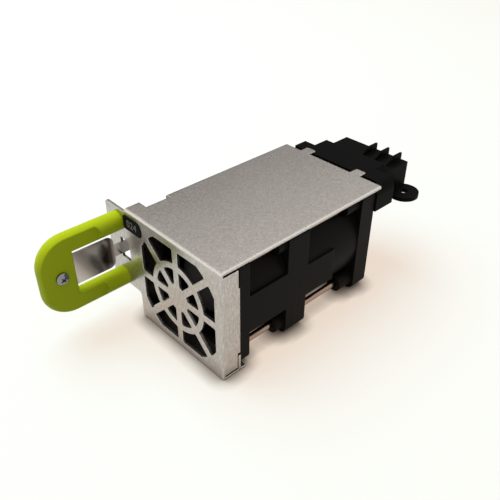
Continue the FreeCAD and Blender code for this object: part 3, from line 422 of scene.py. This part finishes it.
holder = Finish("holder_plastic", (0.0022, 0.0020, 0.0020), (0.0040, 0.0037, 0.0036),
                (0.036, 0.033, 0.031), roughness=0.52, specular=0.035, grain=(2800.0, 0.10),
                blotch_scale=110.0, speck=(2000.0, 0.08), edge=(0.00045, 1.6, 0.6))
dress(holder.done(), "connector_holder")

insulator = Finish("insulator_plastic", (0.020, 0.020, 0.021), (0.028, 0.028, 0.029),
                   (0.06, 0.06, 0.06), roughness=0.38, grain=(2600.0, 0.06), edge=(0.0002, 1.6, 0.5))
dress(insulator.done(), "connector_body")

plated = Finish("gold_plate", (0.80, 0.58, 0.22), (0.72, 0.50, 0.18), (0.90, 0.72, 0.38),
                roughness=0.24, metallic=1.0, grain=(4000.0, 0.03), edge=(0.0001, 1.5, 0.5))
dress(plated.done(), "connector_contacts", "front_spacer_ring", "rear_spacer_ring")


# --------------------------------------------------------------------- long rivets
# Copper-washed steel rods that clamp the two fans together, drawn along their length,
# which leaves dark lines on them.

rod = Finish("coppered_rod", (0.54, 0.405, 0.320), (0.40, 0.280, 0.205), (0.80, 0.66, 0.56),
             roughness=0.20, metallic=1.0, grain=(2200.0, 0.04), blotch_scale=160.0,
             edge=(0.0002, 1.5, 0.4), roughness_swing=0.12)
line_colour, line_strength = (0.10, 0.062, 0.045), 0.90
rod.height = rod.lines(3000.0, "Y", 0.03)
rod.tint(line_colour, rod.maths("MULTIPLY", rod.height, line_strength))
dress(rod.done(), "upper_rivets", "lower_rivets")


# --------------------------------------------------------------------- finger loop
# Lime green moulding with a satin, slightly waxy skin, screwed to the ear from behind.
# The corners of its web are drawn in to the round skin of the bar at both bends.

lime = Finish("lime_moulding", (0.405, 0.515, 0.002), (0.355, 0.462, 0.002), (0.56, 0.66, 0.02),
              roughness=0.50, specular=0.22, grain=(2600.0, 0.07), blotch_scale=70.0,
              speck=(1800.0, 0.06), edge=(0.0007, 1.4, 0.45), roughness_swing=0.08)
lime.shader.inputs["Subsurface Weight"].default_value = 0.12
lime.shader.inputs["Subsurface Radius"].default_value = (0.6, 1.0, 0.2)
lime.shader.inputs["Subsurface Scale"].default_value = 0.0012

bar_radius = 0.0034
bend_radius = 0.0070
weld_distance = 0.000001
loop_low, loop_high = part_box("finger_loop")
bar_x = loop_low.x + bar_radius
bend_y = loop_low.y + bar_radius + bend_radius
upper_bend_z = loop_high.z - bar_radius - bend_radius
lower_bend_z = loop_low.z + bar_radius + bend_radius

loop_mesh = node["finger_loop"].data.copy()
work = bmesh.new()
work.from_mesh(loop_mesh)
bmesh.ops.remove_doubles(work, verts=work.verts, dist=weld_distance)
for vert in work.verts:
    for bend_z, side in ((upper_bend_z, 1), (lower_bend_z, -1)):
        across = Vector((0.0, vert.co.y - bend_y, vert.co.z - bend_z))
        outside = across.y < 0 and across.z * side > 0
        skin = bend_radius + math.sqrt(max(bar_radius ** 2 - (vert.co.x - bar_x) ** 2, 0.0))
        if outside and across.length > skin:
            across *= skin / across.length
            vert.co.y, vert.co.z = bend_y + across.y, bend_z + across.z
for face in work.faces:
    face.smooth = True
work.to_mesh(loop_mesh)
work.free()
loop_mesh.attributes.remove(loop_mesh.attributes["custom_normal"])
loop_mesh.set_sharp_from_angle(angle=math.radians(25))
loop_mesh.materials.clear()
loop_mesh.materials.append(lime.done())
finger_loop = bpy.data.objects.new("finger_loop_dressed", loop_mesh)
scene.collection.objects.link(finger_loop)
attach(finger_loop, "module")
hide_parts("finger_loop")


# ----------------------------------------------------------------------- latch leaf
# Rolled spring steel, nearly a mirror, with faint rolling lines along its length.  Dark
# brown patches of painted reflection start past its neck and cover it towards the loop.

leaf = Finish("spring_leaf", (0.62, 0.59, 0.57), (0.50, 0.47, 0.45), (0.84, 0.82, 0.80),
              roughness=0.16, metallic=1.0, grain=(2200.0, 0.03), blotch_scale=140.0,
              edge=(0.00012, 1.5, 0.6), roughness_swing=0.10)

# Painted reflection: brown-black patches stand in for dark reflections past the leaf's neck.
painted_reflection_colour = (0.085, 0.066, 0.058)
reflection_starts_y, reflection_full_y = -0.0032, -0.0048
leaf_place = leaf.coordinate("Object")
reflection_noise = add_node(leaf.tree, "ShaderNodeTexNoise", {"Vector": leaf_place, "Scale": 85.0, "Detail": 1.0})
painted_reflection_mask = ramp(leaf.tree, reflection_noise.outputs["Fac"], low=0.46, high=0.58)
along = add_node(leaf.tree, "ShaderNodeSeparateXYZ", {"Vector": leaf_place}).outputs["Y"]
off_neck = ramp(leaf.tree, along, low=reflection_starts_y, high=reflection_full_y)
leaf.tint(painted_reflection_colour, leaf.maths("MULTIPLY", painted_reflection_mask, off_neck))
leaf.height = leaf.lines(4200.0, "Y", 0.02)
dress(leaf.done(), "latch_leaf")


# -------------------------------------------------------------------------- screws
# Zinc-plated pan-head screws with a cross recess and a rolled thread.  One clamps the
# leaf in the loop's recess and two hold the loop from behind the ear.

zinc = Finish("zinc_plate", (0.30, 0.30, 0.315), (0.17, 0.175, 0.19), (0.90, 0.90, 0.90),
              roughness=0.20, metallic=1.0, grain=(2600.0, 0.04), blotch_scale=240.0,
              edge=(0.00012, 1.8, 0.6), roughness_swing=0.12)
zinc_plating = zinc.done()

dome_share = 0.55
dome_roundness = 0.97
recess_length, recess_width, recess_depth = 1.40, 0.36, 1.6
recess_taper = (0.45, 0.60, 1.0)
thread_depth = 0.07


def make_screw_tree():
    """Geometry nodes that put a pan-head screw on every point of a mesh."""
    tree = bpy.data.node_groups.new("pan_head_screws", "GeometryNodeTree")
    tree.interface.new_socket("Geometry", in_out="INPUT", socket_type="NodeSocketGeometry")
    for label in ("Head Radius", "Head Height", "Shank Radius", "Shank Length", "Thread Pitch",
                  "Twist"):
        tree.interface.new_socket(label, in_out="INPUT", socket_type="NodeSocketFloat")
    tree.interface.new_socket("Direction", in_out="INPUT", socket_type="NodeSocketVector")
    tree.interface.new_socket("Plating", in_out="INPUT", socket_type="NodeSocketMaterial")
    tree.interface.new_socket("Geometry", in_out="OUTPUT", socket_type="NodeSocketGeometry")
    given = tree.nodes.new("NodeGroupInput").outputs
    result = tree.nodes.new("NodeGroupOutput")

    def work_out(operation, first, second=0.0):
        return maths(tree, operation, first, second)

    position = add_node(tree, "GeometryNodeInputPosition", {}).outputs[0]
    where = add_node(tree, "ShaderNodeSeparateXYZ", {"Vector": position}).outputs
    flat = add_node(tree, "ShaderNodeCombineXYZ", {"X": where["X"], "Y": where["Y"]}).outputs[0]
    reach = add_node(tree, "ShaderNodeVectorMath", {0: flat}, operation="LENGTH").outputs["Value"]

    head = add_node(tree, "GeometryNodeMeshCylinder",
                    {"Vertices": 48, "Side Segments": 3, "Fill Segments": 8,
                     "Radius": given["Head Radius"], "Depth": given["Head Height"]})
    lifted = work_out("ADD", where["Z"], work_out("MULTIPLY", given["Head Height"], 0.5))
    share = work_out("MINIMUM", work_out("DIVIDE", reach, given["Head Radius"]), 1.0)
    fall = work_out("MULTIPLY", work_out("MULTIPLY", share, share), dome_roundness)
    dome = work_out("SQRT", work_out("SUBTRACT", 1.0, fall))
    crown = work_out("ADD", work_out("MULTIPLY", dome, dome_share), 1.0 - dome_share)
    domed = add_node(tree, "ShaderNodeCombineXYZ",
                     {"X": where["X"], "Y": where["Y"], "Z": work_out("MULTIPLY", lifted, crown)})
    head = add_node(tree, "GeometryNodeSetPosition",
                    {"Geometry": head.outputs["Mesh"], "Position": domed.outputs[0]})

    wing = work_out("MULTIPLY", given["Head Radius"], recess_length)
    web = work_out("MULTIPLY", given["Head Radius"], recess_width)
    depth = work_out("MULTIPLY", given["Head Height"], recess_depth)
    size = add_node(tree, "ShaderNodeCombineXYZ", {"X": wing, "Y": web, "Z": depth})
    bar = add_node(tree, "GeometryNodeMeshCube", {"Size": size.outputs[0]})
    below = add_node(tree, "FunctionNodeCompare", {"A": where["Z"], "B": 0.0}, operation="LESS_THAN")
    narrow = add_node(tree, "ShaderNodeVectorMath", {0: position, 1: recess_taper},
                      operation="MULTIPLY")
    bar = add_node(tree, "GeometryNodeSetPosition",
                   {"Geometry": bar.outputs["Mesh"], "Selection": below.outputs["Result"],
                    "Position": narrow.outputs["Vector"]})
    top = add_node(tree, "ShaderNodeCombineXYZ", {"Z": given["Head Height"]}).outputs[0]
    cut = add_node(tree, "GeometryNodeMeshBoolean", {"Mesh 1": head.outputs["Geometry"]},
                   operation="DIFFERENCE", solver="EXACT")
    for turn in (0.0, math.pi / 2):
        arm = add_node(tree, "GeometryNodeTransform",
                       {"Geometry": bar.outputs["Geometry"], "Translation": top,
                        "Rotation": (0.0, 0.0, turn)})
        tree.links.new(arm.outputs["Geometry"], cut.inputs["Mesh 2"])

    shank = add_node(tree, "GeometryNodeMeshCylinder",
                     {"Vertices": 24, "Side Segments": 72, "Fill Segments": 1,
                      "Radius": given["Shank Radius"], "Depth": given["Shank Length"]})
    lowered = work_out("SUBTRACT", where["Z"], work_out("MULTIPLY", given["Shank Length"], 0.5))
    turns = work_out("MULTIPLY", work_out("DIVIDE", where["Z"], given["Thread Pitch"]), math.tau)
    wave = work_out("SINE", work_out("ADD", turns, work_out("ARCTAN2", where["Y"], where["X"])))
    swell = work_out("ADD", work_out("MULTIPLY", wave, thread_depth), 1.0 - thread_depth)
    threaded = add_node(tree, "ShaderNodeCombineXYZ",
                        {"X": work_out("MULTIPLY", where["X"], swell),
                         "Y": work_out("MULTIPLY", where["Y"], swell), "Z": lowered})
    shank = add_node(tree, "GeometryNodeSetPosition",
                     {"Geometry": shank.outputs["Mesh"], "Position": threaded.outputs[0]})

    whole = tree.nodes.new("GeometryNodeJoinGeometry")
    tree.links.new(cut.outputs["Mesh"], whole.inputs["Geometry"])
    tree.links.new(shank.outputs["Geometry"], whole.inputs["Geometry"])
    aim = add_node(tree, "FunctionNodeAlignRotationToVector", {"Vector": given["Direction"]}, axis="Z")
    number = add_node(tree, "GeometryNodeInputIndex", {}).outputs[0]
    angle = work_out("MULTIPLY", work_out("ADD", number, 1.0), given["Twist"])
    spin = add_node(tree, "FunctionNodeAxisAngleToRotation", {"Axis": (0.0, 0.0, 1.0), "Angle": angle})
    turned = add_node(tree, "FunctionNodeRotateRotation",
                      {"Rotation": aim.outputs[0], "Rotate By": spin.outputs[0]}, rotation_space="LOCAL")
    placed = add_node(tree, "GeometryNodeInstanceOnPoints",
                      {"Points": given["Geometry"], "Instance": whole.outputs["Geometry"],
                       "Rotation": turned.outputs[0]})
    real = add_node(tree, "GeometryNodeRealizeInstances", {"Geometry": placed.outputs["Instances"]})
    plated_screws = add_node(tree, "GeometryNodeSetMaterial",
                             {"Geometry": real.outputs["Geometry"], "Material": given["Plating"]})
    tree.links.new(plated_screws.outputs["Geometry"], result.inputs["Geometry"])
    return tree


screw_tree = make_screw_tree()


def drive_screws(name, node_name, points, sizes):
    """Dresses a CAD node of screws: one screw on each point, as one plain mesh."""
    seats = bpy.data.meshes.new(name)
    seats.from_pydata(points, [], [])
    screws = bpy.data.objects.new(name, seats)
    scene.collection.objects.link(screws)
    grown = screws.modifiers.new("screws", "NODES")
    grown.node_group = screw_tree
    sizes["Plating"] = zinc_plating
    for socket in screw_tree.interface.items_tree:
        if socket.in_out == "INPUT" and socket.name in sizes:
            grown[socket.identifier] = sizes[socket.name]
    bpy.context.view_layer.update()
    graph = bpy.context.evaluated_depsgraph_get()
    finished = bpy.data.meshes.new_from_object(screws.evaluated_get(graph))
    screws.modifiers.remove(grown)
    screws.data = finished
    for face in finished.polygons:
        face.use_smooth = True
    finished.set_sharp_from_angle(angle=math.radians(30))
    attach(screws, "module")
    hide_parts(node_name)


clamp_low, clamp_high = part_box("clamp_screw")
clamp_middle = (clamp_low + clamp_high) / 2
clamp_head = 0.0015
drive_screws("clamp_screw_dressed", "clamp_screw",
             [(clamp_high.x - clamp_head, clamp_middle.y, clamp_middle.z)],
             {"Head Radius": (clamp_high.y - clamp_low.y) / 2, "Head Height": clamp_head,
              "Shank Radius": 0.00115, "Shank Length": clamp_high.x - clamp_low.x - clamp_head,
              "Thread Pitch": 0.0005, "Twist": 0.6, "Direction": (1.0, 0.0, 0.0)})

pair_low, pair_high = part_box("loop_screws")
pair_radius = (pair_high.x - pair_low.x) / 2
pair_middle = (pair_low.x + pair_high.x) / 2
pair_head = 0.0016
drive_screws("loop_screws_dressed", "loop_screws",
             [(pair_middle, pair_high.y - pair_head, height)
              for height in (pair_low.z + pair_radius, pair_high.z - pair_radius)],
             {"Head Radius": pair_radius, "Head Height": pair_head, "Shank Radius": 0.00125,
              "Shank Length": pair_high.y - pair_low.y - pair_head,
              "Thread Pitch": 0.0006, "Twist": 0.5, "Direction": (0.0, 1.0, 0.0)})


# ------------------------------------------------------------------ motors, bearings
# Inside each fan: a plain steel yoke and core, a dark ferrite ring, ground bearing
# steel, copper windings and a green drive board.

plain_steel = Finish("plain_steel", (0.30, 0.30, 0.31), (0.22, 0.22, 0.23), (0.55, 0.55, 0.55),
                     roughness=0.40, metallic=1.0, grain=(2400.0, 0.08), edge=(0.0002, 1.6, 0.5))
dress(plain_steel.done(), "front_rotor_yoke", "rear_rotor_yoke", "front_stator_core", "rear_stator_core")

ferrite = Finish("ferrite", (0.035, 0.034, 0.033), (0.055, 0.053, 0.050), (0.09, 0.09, 0.09),
                 roughness=0.66, metallic=0.3, grain=(3200.0, 0.14), edge=(0.0002, 1.6, 0.5))
dress(ferrite.done(), "front_ring_magnet", "rear_ring_magnet")

ground = Finish("ground_steel", (0.66, 0.66, 0.67), (0.58, 0.58, 0.60), (0.88, 0.88, 0.88),
                roughness=0.16, metallic=1.0, grain=(3600.0, 0.02), edge=(0.0001, 1.6, 0.5))
bearing_steel = ground.done()
for fan in ("front", "rear"):
    dress(bearing_steel, fan + "_shaft", fan + "_retaining_ring", fan + "_bearing_outer_rings",
          fan + "_bearing_inner_rings", fan + "_bearing_balls")

copper = Finish("enamelled_copper", (0.55, 0.20, 0.07), (0.45, 0.15, 0.05), (0.75, 0.36, 0.17),
                roughness=0.30, metallic=0.9, grain=(3000.0, 0.04), edge=(0.0002, 1.6, 0.4))
wire_turns = add_node(copper.tree, "ShaderNodeTexWave",
                      {"Vector": copper.coordinate("Object"), "Scale": 1500.0}, bands_direction="Y")
copper.height = wire_turns.outputs["Fac"]
copper.depth = 0.5
dress(copper.done(), "front_coils", "rear_coils")

board = Finish("solder_resist", (0.010, 0.085, 0.030), (0.014, 0.110, 0.040), (0.10, 0.20, 0.08),
               roughness=0.35, grain=(2600.0, 0.04), blotch_scale=320.0, edge=(0.0002, 1.6, 0.4))
dress(board.done(), "front_drive_board", "rear_drive_board")
